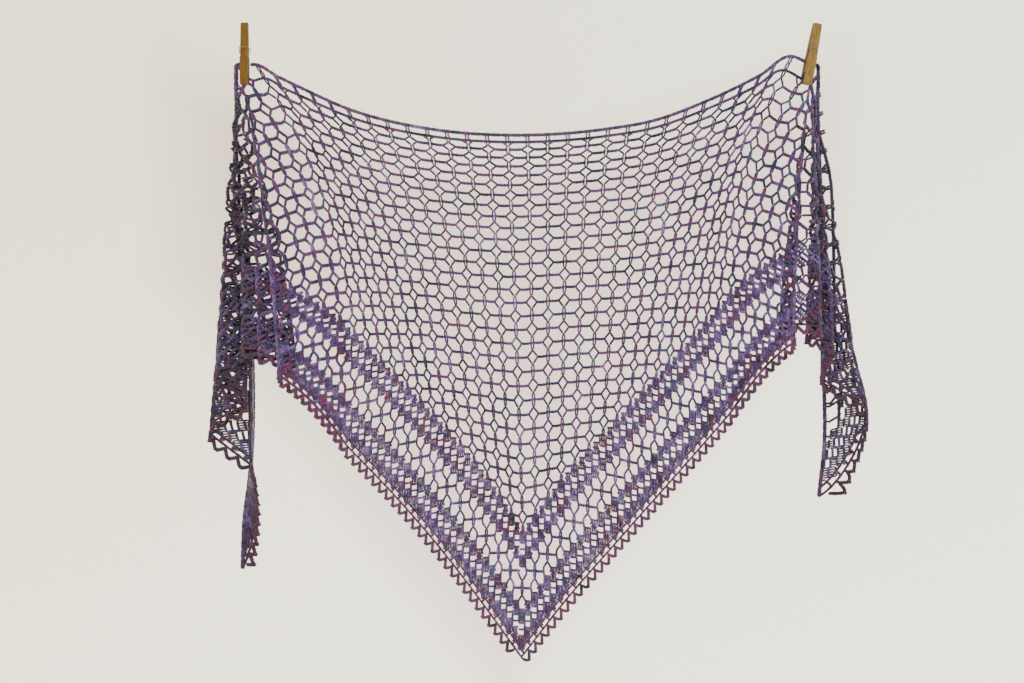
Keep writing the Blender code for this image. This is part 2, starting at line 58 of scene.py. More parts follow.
# The hanging panel. Each row: column u, then x and z in millimetres.
LONG_EDGE = (
    (-13.6, -328.3, -7.0),
    (-13.15, -317.8, -4.6),
    (-11.8, -289.5, -18.6),
    (-10.67, -265.6, -30.2),
    (-7.76, -203.0, -58.0),
    (-3.56, -106.7, -80.6),
    (0.34, -15.1, -87.0),
    (5.18, 98.6, -78.9),
    (7.14, 143.8, -70.8),
    (10.04, 207.6, -47.6),
    (12.97, 270.3, -17.4),
    (15.0, 308.0, 4.8),
    (16.0, 329.4, -4.6),
)
# Each row: distance |u| from the middle column, then x and z of the field's end and of the hem, in
# millimetres.
LEFT_V = (
    (0.0, -4.6, -546.4, -7.0, -707.6),
    (3.0, -45.4, -485.2, -49.6, -649.6),
    (6.0, -92.6, -428.9, -92.8, -592.0),
    (10.0, -153.4, -365.3, -154.0, -520.4),
    (13.6, -209.3, -309.2, -209.4, -462.8),
)
RIGHT_V = (
    (0.0, -4.6, -546.4, -7.0, -707.6),
    (3.0, 39.7, -487.7, 37.5, -651.0),
    (7.0, 104.2, -417.4, 100.2, -578.2),
    (12.0, 179.0, -336.7, 176.4, -492.8),
    (16.0, 236.4, -271.7, 235.2, -425.9),
)
# How the field's cells crowd towards the top in the middle, and bow outwards at the sides
SLACK = 0.46
BOW = 0.8
# How far the panel bellies forward, in millimetres: everywhere, more at the hem, and in waves along the hem.
# The waves turn by RIPPLE_PITCH radians a column, from RIPPLE_START in the middle.
BELLY = 4.0
HEM_BELLY = 7.0
RIPPLE = 3.0
RIPPLE_PITCH = 0.9
RIPPLE_START = 0.6

# The falls. A fall is charted from its peg: r is the distance along the cloth and theta the angle from
# straight down (0) to the long edge (90). Each row is one fold: its angle, how much the cloth there
# stretches, and how far it stands outward of the peg, in millimetres, at each distance r of FALL_LEVELS.
FALL_LEVELS = (34.0, 130.0, 330.0, 430.0, 490.0, 550.0)
LEFT_FOLDS = (
    (13.5, 1.00, (-2.3, -16.0, -38.0, -42.0, -42.0, -42.0)),
    (19.0, 1.00, (-1.7, -21.0, -57.0, -58.0, -58.0, -58.0)),
    (28.0, 1.00, (-1.2, -7.0, -16.0, -18.0, -18.0, -18.0)),
    (32.0, 0.99, (0.0, -12.0, -36.0, -38.0, -38.0, -38.0)),
    (37.5, 0.98, (1.0, 2.0, 4.0, 4.0, 4.0, 4.0)),
    (41.5, 0.98, (1.7, -7.0, -22.0, -22.0, -22.0, -22.0)),
    (46.0, 0.98, (3.0, 5.0, 5.0, 5.0, 5.0, 5.0)),
    (49.0, 1.00, (4.5, 1.0, -6.0, -3.0, -3.0, -3.0)),
    (57.0, 1.03, (8.0, 17.0, 34.0, 40.0, 40.0, 40.0)),
    (63.5, 1.05, (6.5, 5.0, 1.0, 2.0, 2.0, 2.0)),
    (70.5, 1.07, (11.0, 22.5, 37.0, 46.0, 51.0, 51.0)),
    (79.0, 1.09, (8.5, 10.4, -3.5, -4.0, -12.5, -5.0)),
    (90.0, 1.11, (10.0, 17.0, -3.5, -1.0, 5.0, 7.0)),
)
RIGHT_FOLDS = (
    (17.5, 1.00, (-2.3, -10.5, -18.5, -14.0, -14.0, -14.0)),
    (25.0, 0.99, (-1.2, -16.0, -36.0, -36.0, -36.0, -36.0)),
    (41.0, 1.00, (1.2, 7.0, 13.0, 13.0, 13.0, 13.0)),
    (50.0, 1.00, (2.3, 2.3, -3.5, -3.5, -3.5, -3.5)),
    (60.0, 1.00, (4.6, 14.0, 28.0, 28.0, 28.0, 28.0)),
    (70.0, 1.00, (5.5, 9.3, 15.0, 15.0, 15.0, 15.0)),
    (81.0, 1.02, (13.0, 25.0, 52.0, 67.5, 41.0, 15.0)),
    (90.0, 1.05, (9.3, 14.0, 17.4, 19.0, 12.5, 9.0)),
)
FOLDS = {"left": LEFT_FOLDS, "right": RIGHT_FOLDS}
# The angle, in degrees, of the first fold at each distance of FALL_LEVELS: it follows a column of the lace.
FIRST_FOLD = {
    "left": (38.0, 36.0, 22.0, 19.5, 19.0, 19.0),
    "right": (38.0, 36.0, 24.0, 21.0, 20.0, 20.0),
}
FALL_TOP = -0.0023
# In millimetres: how far the peg's jaws reach down, how deep the cloth lies between them, how far from the
# peg the folds stand apart, how deep a pass is below the jaws, and over what lengths it opens and folds
JAW_REACH = 34.0
JAW_DEPTH = 5.2
SPREAD = 9.0
PASS_DEPTH = 4.2
OPENING_LENGTH = 30.0
FOLDING_LENGTH = 18.0
# The share of a pass that each of its turns takes, the widest turn as a share of the pass's run, and how far
# the stretch between the turns slants
TURN_SHARE = 0.2
WIDEST_TURN = 0.38
SLANT = 0.14
# How much of its drop a fold loses in the jaws, as a share of its distance aside there
JAW_LOSS = 0.6
# The left fall's last pass turns edge-on and back: its depth in millimetres at each of FALL_LEVELS.
LEFT_RETURN = (0.6, 9.0, 22.0, 24.0, 5.0, 3.0)


def smooth_table(x, xs, ys):
    """Smooth curve through the table's points, held at its ends."""
    xs = np.asarray(xs, float)
    ys = np.asarray(ys, float)
    slopes = np.gradient(ys, xs)
    i = np.clip(np.searchsorted(xs, x) - 1, 0, len(xs) - 2)
    step = xs[i + 1] - xs[i]
    t = np.clip((x - xs[i]) / step, 0.0, 1.0)
    rise = t * t * (3 - 2 * t)
    lead_in = t * (1 - t) ** 2 * step * slopes[i]
    lead_out = t * t * (t - 1) * step * slopes[i + 1]
    return ys[i] + (ys[i + 1] - ys[i]) * rise + lead_in + lead_out


def ease(t):
    t = np.clip(t, 0.0, 1.0)
    return t * t * (3 - 2 * t)


def drape_panel(u, v):
    """The stretch between the pegs."""
    low, high = PEG_COLUMN["left"], PEG_COLUMN["right"]
    u = np.clip(u, low, high)
    edge = np.array(LONG_EDGE).T
    top_x = smooth_table(u, edge[0], edge[1])
    top_z = smooth_table(u, edge[0], edge[2])
    left = [smooth_table(-u, np.array(LEFT_V)[:, 0], np.array(LEFT_V)[:, i]) for i in (1, 2, 3, 4)]
    right = [smooth_table(u, np.array(RIGHT_V)[:, 0], np.array(RIGHT_V)[:, i]) for i in (1, 2, 3, 4)]
    end_x, end_z, hem_x, hem_z = [np.where(u < 0, a, b) for a, b in zip(left, right)]
    rows = FIELD_ROWS - np.abs(u)
    down = np.clip(v / rows, 0.0, 1.0)
    across = (u - low) / (high - low)
    side = (2 * across - 1) ** 2
    slow = SLACK * (1 - side)
    t = (1 - slow) * down + slow * (5 * down ** 2 - 2 * down ** 3) / 3
    past = np.maximum(v - rows, 0.0) / (HEM_ROWS - FIELD_ROWS)
    bowed = down + BOW * side * down * (1 - down)
    x = top_x + (end_x - top_x) * bowed + (hem_x - end_x) * past
    z = top_z + (end_z - top_z) * t + (hem_z - end_z) * past
    belly = np.sin(np.pi * across)
    low_share = v / HEM_ROWS
    ripple = RIPPLE * np.sin(RIPPLE_PITCH * u + RIPPLE_START) * low_share ** 2
    y = -JAW_DEPTH / 2 - belly * (BELLY + HEM_BELLY * low_share + ripple)
    return np.stack([x, y, z], axis=-1) * MM


def pass_shape(w, ratio, first, last):
    """How far along and how far back one pass of a fold runs: a quarter turn, a slant, a quarter turn."""
    turn = np.minimum(WIDEST_TURN, 0.5 / np.maximum(ratio, 1e-6))
    go_in = 0.0 if first else TURN_SHARE
    go_out = 0.0 if last else TURN_SHARE
    start_x = 0.0 if first else turn
    end_x = 1.0 if last else 1.0 - turn
    enter = 0.0 if first else (1.0 if last else 0.5 - SLANT)
    leave = 0.0 if first else (1.0 if last else 0.5 + SLANT)
    share = (w - go_in) / (1.0 - go_in - go_out)
    along = start_x + (end_x - start_x) * share
    back = enter + (leave - enter) * share
    if not first:
        angle = np.clip(w / TURN_SHARE, 0.0, 1.0) * np.pi / 2
        along = np.where(w < TURN_SHARE, turn * (1 - np.cos(angle)), along)
        back = np.where(w < TURN_SHARE, enter * np.sin(angle), back)
    if not last:
        angle = np.clip((1 - w) / TURN_SHARE, 0.0, 1.0) * np.pi / 2
        along = np.where(w > 1 - TURN_SHARE, 1 - turn * (1 - np.cos(angle)), along)
        back = np.where(w > 1 - TURN_SHARE, 1 - (1 - leave) * np.sin(angle), back)
    return along, back


def hem_angle(r, side):
    """The angle, in degrees, at which the hem crosses distance r on the long edge's side."""
    rows = HEM_ROWS - abs(PEG_COLUMN[side])
    pull = math.hypot(1 / COLUMN, 1 / HALF_ROW)
    lean = math.atan2(1 / COLUMN, 1 / HALF_ROW)
    closest = np.clip(rows / (pull * np.maximum(r * MM, 1e-6)), -1.0, 1.0)
    return np.degrees(lean + np.arccos(closest))


def fold_angle(theta, r, side):
    """The angle in the table of folds that stands for angle theta at distance r."""
    table = FOLDS[side][0][0]
    first = smooth_table(r, FALL_LEVELS, FIRST_FOLD[side])
    beyond = table + (theta - first) * (90.0 - table) / (90.0 - first)
    return np.where(theta < first, theta * table / first, beyond)


def drape_fall(u, v, side):
    """The folded fall outside one peg."""
    folds = FOLDS[side]
    angles = [0.0] + [row[0] for row in folds]
    stretch = [1.0] + [row[1] for row in folds]
    aside = np.maximum((u - PEG_COLUMN[side]) * OUTWARD[side], 0.0) * COLUMN / MM
    below = np.maximum(v, 0.0) * HALF_ROW / MM
    r = np.hypot(aside, below)
    theta = np.clip(np.degrees(np.arctan2(aside, below)), 0.0, 90.0)
    theta = fold_angle(theta, r, side)

    spread = np.clip(r / SPREAD, 0.0, 1.0)
    places = [spread * smooth_table(r, FALL_LEVELS, row[2]) for row in folds]
    seam = drape_panel(np.full_like(r, PEG_COLUMN[side]), r * MM / HALF_ROW) / MM
    places.insert(0, (seam[..., 0] - PEG_X[side] / MM) * OUTWARD[side])

    passes = len(folds)
    full = JAW_DEPTH / (passes - 1)
    opened = 1 - np.exp(-np.maximum(r - JAW_REACH, 0.0) / OPENING_LENGTH)
    depth = full + (PASS_DEPTH - full) * opened
    out = np.zeros_like(r)
    back = np.zeros_like(r)
    begun = np.zeros_like(r)
    folded = ease((r - JAW_REACH) / FOLDING_LENGTH)
    for k in range(passes):
        first = k == 0
        last = k == passes - 1
        if last and side == "left":
            run = smooth_table(r, FALL_LEVELS, LEFT_RETURN)
        else:
            run = depth * (0.5 if first or last else 1.0)
        start = np.full_like(r, angles[k])
        if last:
            start = np.clip(fold_angle(hem_angle(r, side), r, side), start, 89.5)
        w = np.clip((theta - start) / (angles[k + 1] - start), 0.0, 1.0)
        step = places[k + 1] - places[k]
        if last and side == "left":
            along, deep = w, w
        else:
            along, deep = pass_shape(w, np.abs(step) / depth, first, last)
            along = w + (along - w) * folded
            deep = w + (deep - w) * folded
        here = (theta >= angles[k]) & (theta <= angles[k + 1])
        out = np.where(here, places[k] + step * along, out)
        back = np.where(here, begun + run * deep, back)
        begun = begun + run
    at_jaw = np.interp(theta, angles, [0.0] + [abs(row[2][0]) for row in folds])
    taken = JAW_LOSS * at_jaw * spread
    fall_z = FALL_TOP / MM - smooth_table(theta, angles, stretch) * (r - taken)
    joined = ease(theta / angles[1])
    z = seam[..., 2] + (fall_z - seam[..., 2]) * joined
    x = PEG_X[side] / MM + OUTWARD[side] * out
    y = seam[..., 1] + back
    return np.stack([x, y, z], axis=-1) * MM


def drape(u, v):
    """Where each point of the flat chart hangs."""
    u = np.asarray(u, float)
    v = np.asarray(v, float)
    panel = drape_panel(u, v)
    left = drape_fall(u, v, "left")
    right = drape_fall(u, v, "right")
    point = np.where((u < PEG_COLUMN["left"])[..., None], left, panel)
    return np.where((u > PEG_COLUMN["right"])[..., None], right, point)


# Where each band starts, in rows out from the long edge, and its pitch in columns
INNER_BAND = 32.0
STAR_BAND = 34.0
OUTER_BAND = 36.45
EDGING = 38.75
CHAIN_LINE = 39.2
STEP_LINE = 39.38
STAR_PITCH = 1.0
EYELET_PITCH = 0.5
BAR_PITCH = 0.125

# A strand's sides, and the yarn's radii in millimetres
SIDES = 5
BAR = 1.05
POST = 1.15
THIN = 1.45
PLAIN = 1.5
CHAIN = 1.95
PICOT = 2.05
KNOT = 3.0
CORD = 2.3
# How much plumper the yarn is drawn where the cloth hangs folded
PLUMP = {"front": 1.0, "left": 1.3, "right": 1.2}
# How much a chain's stitches swell its yarn, and how thick a strand's ends are
BUMP_HEIGHT = 0.2
END_TAPER = 0.8

# Where a strand's tone lies between the darkest yarn (0) and the lightest (1)
ANY = (0.0, 1.0)
DEEP = (0.0, 0.5)
LIGHT = (0.5, 1.0)


def normals(u, v):
    """The cloth's unit normal, towards the side that faces out in front."""
    nudge = 0.02
    across = drape(u + nudge, v) - drape(u - nudge, v)
    down = drape(u, v + nudge) - drape(u, v - nudge)
    n = np.cross(down, across)
    size = np.linalg.norm(n, axis=-1, keepdims=True)
    return np.where(size > 1e-12, n / np.maximum(size, 1e-12), np.array([0.0, -1.0, 0.0]))


def unit(a):
    return a / np.maximum(np.linalg.norm(a, axis=-1, keepdims=True), 1e-9)


def rows_of(shape, *parts):
    """Rows of three numbers, one row for each point of the shape."""
    return np.stack([np.broadcast_to(part, shape) for part in parts], axis=-1).reshape(-1, 3)


class Yarn:
    """Strands of yarn on the chart, kept in batches and turned into one mesh of closed tubes."""

    def __init__(self):
        self.batches = []

    def add(self, u, v, lift, radius, bumps=0.0, tone=ANY):
        """Strands with chart points u, v of shape (strands, points); lift and radius in millimetres."""
        u, v = np.broadcast_arrays(np.asarray(u, float), np.asarray(v, float))
        if u.size == 0:
            return
        lift = np.broadcast_to(np.asarray(lift, float), u.shape)
        radius = np.broadcast_to(np.asarray(radius, float), u.shape)
        self.batches.append((u, v, lift, radius, bumps, tone))

    def build(self, name, finish, keep, plump):
        """One mesh object of the strands whose middle point passes keep(u, v)."""
        rng = np.random.default_rng(7)
        verts, faces, sizes, yarn, ply = [], [], [], [], []
        base = 0
        turn = np.linspace(0, 2 * np.pi, SIDES, endpoint=False)
        for u, v, lift, radius, bumps, tone in self.batches:
            middle = u.shape[1] // 2
            chosen = keep(u[:, middle], v[:, middle])
            if not chosen.any():
                continue
            u, v, lift, radius = u[chosen], v[chosen], lift[chosen], radius[chosen]
            strands, points = u.shape
            normal = normals(u, v)
            place = drape(u, v) + normal * (lift * MM)[..., None]
            along = unit(np.gradient(place, axis=1))
            side = unit(np.cross(along, normal))
            out = np.cross(side, along)
            step = np.linalg.norm(np.diff(place, axis=1), axis=-1) / MM
            run = np.concatenate([np.zeros((strands, 1)), np.cumsum(step, axis=1)], axis=1)
            thick = radius * plump
            if bumps:
                thick = thick * (1 + BUMP_HEIGHT * np.cos(np.pi * np.arange(points))[None, :] * bumps)
            thick[:, 0] *= END_TAPER
            thick[:, -1] *= END_TAPER
            ring = (
                np.cos(turn)[:, None] * side[:, :, None, :] + np.sin(turn)[:, None] * out[:, :, None, :]
            ) * (thick * MM)[:, :, None, None]
            verts.append((place[:, :, None, :] + ring).reshape(-1, 3))
            number = tone[0] + (tone[1] - tone[0]) * rng.random(strands)
            every = (strands, points, SIDES)
            yarn.append(rows_of(every, u[:, :, None], v[:, :, None], number[:, None, None]))
            ply.append(rows_of(every, run[:, :, None], np.cos(turn), np.sin(turn)))
            s, p, k = np.meshgrid(np.arange(strands), np.arange(points - 1), np.arange(SIDES), indexing="ij")
            a = base + (s * points + p) * SIDES + k
            b = base + (s * points + p) * SIDES + (k + 1) % SIDES
            quads = np.stack([a, b, b + SIDES, a + SIDES], axis=-1).reshape(-1, 4)
            ends = base + np.arange(strands)[:, None] * points * SIDES
            ring_ids = np.arange(SIDES)
            first = ends + ring_ids[::-1]
            last = ends + (points - 1) * SIDES + ring_ids
            faces += [quads.ravel(), first.ravel(), last.ravel()]
            sizes += [np.full(len(quads), 4), np.full(len(first), SIDES), np.full(len(last), SIDES)]
            base += strands * points * SIDES
        return mesh_object(name, np.concatenate(verts), np.concatenate(faces), np.concatenate(sizes),
                           finish, {"yarn": np.concatenate(yarn), "ply": np.concatenate(ply)})


def mesh_object(name, verts, loops, sizes, finish, attributes):
    """A smooth mesh object from its points, its faces' corners and their numbers of corners."""
    mesh = bpy.data.meshes.new(name)
    mesh.vertices.add(len(verts))
    mesh.vertices.foreach_set("co", verts.astype(np.float32).ravel())
    mesh.loops.add(len(loops))
    mesh.loops.foreach_set("vertex_index", loops.astype(np.int32))
    mesh.polygons.add(len(sizes))
    starts = np.concatenate([[0], np.cumsum(sizes)[:-1]])
    mesh.polygons.foreach_set("loop_start", starts.astype(np.int32))
    mesh.polygons.foreach_set("use_smooth", np.ones(len(sizes), dtype=bool))
    mesh.update(calc_edges=True)
    for key, values in attributes.items():
        layer = mesh.attributes.new(key, "FLOAT_VECTOR", "POINT")
        layer.data.foreach_set("vector", values.astype(np.float32).ravel())
    mesh.materials.append(finish)
    made = bpy.data.objects.new(name, mesh)
    bpy.context.collection.objects.link(made)
    return made


def smooth_path(corners, count):
    """count points along a rounded line through the corners: rows of (u, v, lift) offsets."""
    corners = np.asarray(corners, float)
    t = np.linspace(0, len(corners) - 1, count)
    keys = np.arange(len(corners))
    return np.stack([smooth_table(t, keys, corners[:, i]) for i in range(corners.shape[1])], axis=-1)


def place_motif(yarn, at_u, at_v, corners, count, radius, mirror=1.0, bumps=0.0, tone=ANY):
    """The same strand at each chart place; corners are (u, v, lift) offsets."""
    path = smooth_path(corners, count)
    at_u, at_v = np.atleast_1d(at_u), np.atleast_1d(at_v)
    mirror = np.broadcast_to(mirror, at_u.shape)
    yarn.add(at_u[:, None] + mirror[:, None] * path[None, :, 0], at_v[:, None] + path[None, :, 1],
             path[None, :, 2], radius, bumps, tone)


# The lattice: a post (two strands with a slit) where i + j is even, an open diamond where it is odd, and a
# chain from each diamond's corners to the next columns' posts.
POST_HALF = 0.53
DIAMOND_HALF = 0.47
DIAMOND_SIDE = 0.31
CHAIN_END = 0.97


def post(yarn, u, v, top=-POST_HALF, bottom=POST_HALF):
    """Two strands side by side with a slit between them."""
    for sign in (-1, 1):
        place_motif(yarn, u, v, (
            (sign * 0.02, top, 0.1), (sign * 0.085, top * 0.45, 0.3), (sign * 0.05, 0.0, 0.5),
            (sign * 0.085, bottom * 0.45, 0.3), (sign * 0.02, bottom, 0.1)), 7, POST, tone=LIGHT)


def diamond(yarn, u, v):
    half, side = DIAMOND_HALF, DIAMOND_SIDE
    for sign in (-1, 1):
        place_motif(yarn, u, v, (
            (sign * 0.01, -half, 0.0), (sign * side * 0.52, -half * 0.5, 0.0), (sign * side, 0.0, -0.1),
            (sign * side * 0.6, half * 0.52, 0.0), (sign * 0.05, half, 0.1)), 9, THIN)


def chains(yarn, u, v, sign):
    """A chain from a diamond's corner to the next column's post."""
    start, end = DIAMOND_SIDE, CHAIN_END
    place_motif(yarn, u, v, (
        (sign * start, 0.0, -0.1), (sign * (start * 0.6 + end * 0.4), 0.03, -0.2), (sign * end, 0.0, -0.3)),
        10, CHAIN, bumps=1.0, tone=DEEP)


def lattice(yarn):
    """The open field, with its first row under the long edge and its last row on the first band."""
    reach = int(CORNER_COLUMNS)
    columns = np.arange(-reach, reach + 1)
    i, j = np.meshgrid(columns, np.arange(0, int(FIELD_ROWS) + 1), indexing="ij")
    i, j = i.ravel(), j.ravel()
    out = np.abs(i) + j
    odd = (i + j) % 2 == 1
    inside = out < FIELD_ROWS
    low = ~odd & inside & (j > 1)
    post(yarn, i[low], j[low])
    first = ~odd & inside & (j == 1)
    post(yarn, i[first], j[first], top=0.0)
    top_row = columns[np.abs(columns) < FIELD_ROWS]
    post(yarn, top_row, np.full(len(top_row), 0.5), -0.5, 0.5)
    begin = top_row[:-1]
    yarn.add(begin[:, None] + np.linspace(0, 1.02, 16)[None, :], 1.0, -0.1, CHAIN, 1.0, DEEP)
    last = ~odd & (out == FIELD_ROWS) & (j > 0)
    post(yarn, i[last], j[last], bottom=0.05)
    net = odd & inside & (j > 1)
    diamond(yarn, i[net], j[net])
    top = odd & inside & (j == 1)
    for sign in (-1, 1):
        chains(yarn, i[net], j[net], sign)
        place_motif(yarn, i[top], j[top], (
            (sign * 0.28, 0.0, 0.0), (sign * 0.2, 0.2, 0.0), (sign * 0.03, DIAMOND_HALF, 0.1)), 5, THIN)


def halves(last, pitch):
    """Steps out from the middle column on both sides: distance out, and side."""
    out = np.arange(0, int(last / pitch) + 1) * pitch
    side = np.concatenate([np.ones(len(out)), -np.ones(len(out))])
    out = np.concatenate([out, out])
    keep = (side > 0) | (out > 0)
    return out[keep], side[keep]


def hem_line(yarn, rows, radius):
    """A line of yarn along the hem's direction, in strands one column long."""
    last = min(rows, CORNER_COLUMNS)
    out = np.arange(0, last, 1.0)
    t = np.linspace(0, 1.0, 9)
    for side in (1, -1):
        u = np.minimum(out[:, None] + t[None, :], last)
        yarn.add(side * u, np.maximum(rows - u, 0.0), 0.1, radius, 0.5)


def dense_band(yarn, start, end):
    """Blocks of short bars, two rows of square eyelets, and blocks of bars again, stepping along the hem."""
    eyelet = 0.36
    block = (end - start - 2 * eyelet) / 2
    last = min(end, CORNER_COLUMNS) - 0.3
    out, side = halves(last, BAR_PITCH)
    cell = np.round(out / EYELET_PITCH) * EYELET_PITCH
    odd = (np.round(out / BAR_PITCH) % 2) * 2 - 1
    t = np.linspace(0, 1, 4)[None, :]
    for top in (start, start + block + 2 * eyelet):
        low = np.maximum(top - cell, 0.0)
        high = top + block - cell
        good = high - low > 0.08
        v = low[good, None] + (high - low)[good, None] * t
        yarn.add((side * out)[good, None], v, 0.3 * odd[good, None] + 0.35 * np.sin(np.pi * t), BAR)
    k, side = halves(last, EYELET_PITCH)
    u = side * k
    half = EYELET_PITCH / 2
    drops = (0.0, 0.5 * block, block, block + eyelet, block + 2 * eyelet, 1.5 * block + 2 * eyelet)
    for drop in (*drops, end - start):
        v = start + drop - k
        good = v > 0
        place_motif(yarn, u[good], v[good], ((-half, 0.0, 0.1), (0.0, 0.02, 0.3), (half, 0.0, 0.1)), 5, PLAIN,
                    side[good])
    v = start + block - k
    good = v > 0
    place_motif(yarn, u[good], v[good], (
        (half, -half, 0.0), (half, eyelet, 0.1), (half, 2 * eyelet, 0.0)), 6, PLAIN, side[good])


def star_band(yarn):
    """The starred band: a post in the middle of each column, with half a diamond above and below it."""
    upper, centre, lower = 34.36, 35.22, 36.08
    k, side = halves(centre - 0.5, STAR_PITCH)
    u = side * k
    for sign in (-1, 1):
        place_motif(yarn, u, upper - k, (
            (sign * 0.2, -0.36 - 0.2 * sign, 0.0), (sign * 0.33, 0.0, 0.0), (sign * 0.2, 0.25, 0.0),
            (sign * 0.03, 0.46, 0.1)), 8, THIN, side)
        place_motif(yarn, u, centre - k, (
            (sign * 0.02, -0.42, 0.1), (sign * 0.085, -0.2, 0.3), (sign * 0.05, 0.0, 0.5),
            (sign * 0.085, 0.2, 0.3), (sign * 0.02, 0.44, 0.1)), 7, POST, side, tone=LIGHT)
        place_motif(yarn, u, lower - k, (
            (sign * 0.02, -0.42, 0.1), (sign * 0.2, -0.2, 0.0), (sign * 0.3, 0.0, 0.0),
            (sign * 0.2, 0.38 - 0.2 * sign, 0.0)), 8, THIN, side)
    chain = ((0.0, 0.0, 0.0), (STAR_PITCH * 0.35, 0.02, -0.2), (STAR_PITCH - 0.3, 0.0, -0.1))
    place_motif(yarn, u, centre - k, chain, 10, CHAIN, side, 1.0, DEEP)
    for chosen, end in ((k > 0, 0.33), (k == 0, 0.3)):
        chain = ((0.0, 0.0, 0.0), (-STAR_PITCH * 0.35, 0.02, -0.2), (end - STAR_PITCH, 0.0, -0.1))
        place_motif(yarn, u[chosen], (centre - k)[chosen], chain, 10, CHAIN, side[chosen], 1.0, DEEP)


def edging(yarn):
    """Two rows of slim ties along the hem, a chain line between them, then picots with a knot at each tip."""
    k, side = halves(CORNER_COLUMNS - 0.6, EYELET_PITCH)
    u = side * k
    step = EYELET_PITCH
    hem_line(yarn, EDGING, THIN)
    hem_line(yarn, CHAIN_LINE, PLAIN)
    gap = CHAIN_LINE - EDGING
    place_motif(yarn, u, EDGING - k, (
        (0.0, 0.0, 0.0), (0.2 * gap, 0.3 * gap, 0.1), (0.6 * gap, 0.4 * gap, 0.0)), 5, PLAIN, side)
    gap = STEP_LINE - CHAIN_LINE
    place_motif(yarn, u, CHAIN_LINE - k, (
        (0.3 - 0.5 * step, 0.5 * step - 0.3, 0.0), (0.35 * gap, 0.3 * gap, 0.1), (0.5 * gap, 0.5 * gap, 0.0)),
        5, PLAIN, side)
    u = u + side * gap / 2
    place_motif(yarn, u, STEP_LINE - k - gap / 2, (
        (0.0, 0.0, 0.0), (step * 0.4, 0.04, 0.1), (step * 0.85, 0.06, 0.2), (step * 1.06, -0.02, 0.2),
        (step * 1.08, -step * 0.45, 0.1), (step, -step, 0.0)), 15, PICOT, side, bumps=0.3)
    place_motif(yarn, u, STEP_LINE - k - gap / 2, (
        (step * 0.92, 0.0, 0.2), (step + 0.04, 0.04, 0.2), (step + 0.09, 0.09, 0.1)), 5,
        (PICOT, PICOT, KNOT, KNOT, KNOT), side)


def long_edge(yarn):
    """The thick cord along the top, and the row under it where it passes the star band."""
    for side in (-1, 1):
        across = side * np.array([34.4, 35.2, 36.0])[:, None]
        yarn.add(across + side * np.array([0.0, 0.1, 0.0, -0.1]), np.array([0.0, 0.3, 0.65, 1.0]), 0.1, THIN)
        yarn.add(side * np.linspace(INNER_BAND + 1.9, 35.4, 12)[None, :], 1.0, -0.1, CHAIN, bumps=1.0)
    piece = 0.5
    begin = -CORNER_COLUMNS + piece * np.arange(int(2 * CORNER_COLUMNS / piece))
    u = begin[:, None] + np.linspace(0, piece + 0.02, 7)[None, :]
    yarn.add(u, 0.0, 0.1, CORD, 0.35)


class Nodes:
    """A short way to write a material's node tree."""

    def __init__(self, name):
        self.material = bpy.data.materials.new(name)
        self.material.use_nodes = True
        self.tree = self.material.node_tree
        self.shader = self.tree.nodes["Principled BSDF"]

    def add(self, kind, **settings):
        node = self.tree.nodes.new(kind)
        for key, value in settings.items():
            setattr(node, key, value)
        return node

    def link(self, source, target):
        self.tree.links.new(source, target)

    def value(self, operation, a, b=None, c=None):
        node = self.add("ShaderNodeMath", operation=operation)
        for socket, item in zip(node.inputs, (a, b, c)):
            if item is None:
                continue
            if isinstance(item, (int, float)):
                socket.default_value = item
            else:
                self.link(item, socket)
        return node.outputs[0]

    def noise(self, vector, scale, detail, roughness=0.5):
        node = self.add("ShaderNodeTexNoise")
        node.inputs["Scale"].default_value = scale
        node.inputs["Detail"].default_value = detail
        node.inputs["Roughness"].default_value = roughness
        self.link(vector, node.inputs["Vector"])
        return node.outputs["Fac"]

    def product(self, factor, a, b):
        """Colour a times colour b, as far as the factor says; each is a number, a colour or a socket."""
        node = self.add("ShaderNodeMix", data_type="RGBA", blend_type="MULTIPLY")
        for key, item in (("Factor", factor), ("A", a), ("B", b)):
            if isinstance(item, (float, tuple)):
                node.inputs[key].default_value = item
            else:
                self.link(item, node.inputs[key])
        return node.outputs["Result"]

    def split(self, vector):
        node = self.add("ShaderNodeSeparateXYZ")
        self.link(vector, node.inputs[0])
        return tuple(node.outputs)

    def object_place(self):
        return self.add("ShaderNodeTexCoord").outputs["Object"]

    def bump(self, height, strength, distance):
        node = self.add("ShaderNodeBump")
        node.inputs["Strength"].default_value = strength
        node.inputs["Distance"].default_value = distance
        self.link(height, node.inputs["Height"])
        self.link(node.outputs[0], self.shader.inputs["Normal"])

    def finish(self, colour, **settings):
        """Joins the colour to the shader and gives the shader's other values."""
        self.link(colour, self.shader.inputs["Base Color"])
        for key, value in settings.items():
            self.shader.inputs[key.replace("_", " ")].default_value = value
        return self.material

    def ramp(self, source, stops):
        node = self.add("ShaderNodeValToRGB")
        ramp = node.color_ramp
        while len(ramp.elements) < len(stops):
            ramp.elements.new(0.5)
        for element, (position, colour) in zip(ramp.elements, stops):
            element.position = position
            element.color = (*colour, 1.0)
        self.link(source, node.inputs["Fac"])
        return node.outputs["Color"]


# How far back the folds of a fall run, in metres, and how much painted shade darkens the yarn halfway back
FOLD_DEPTH = 0.066
FOLD_PAINTED_SHADE = 0.5
# The yarn's plies, their turn in radians for each millimetre, and how far a strand's tone shifts its colour
PLIES = 2.0
TWIST = 2.4
TONE_SHIFT = 0.36

BLACK_VIOLET = (0.006, 0.003, 0.012)
NAVY = (0.0076, 0.0093, 0.043)
VIOLET = (0.043, 0.017, 0.093)
LILAC = (0.099, 0.054, 0.16)
PLUM = (0.068, 0.011, 0.05)
TEAL = (0.01, 0.027, 0.064)
DUSK = (0.027, 0.014, 0.041)


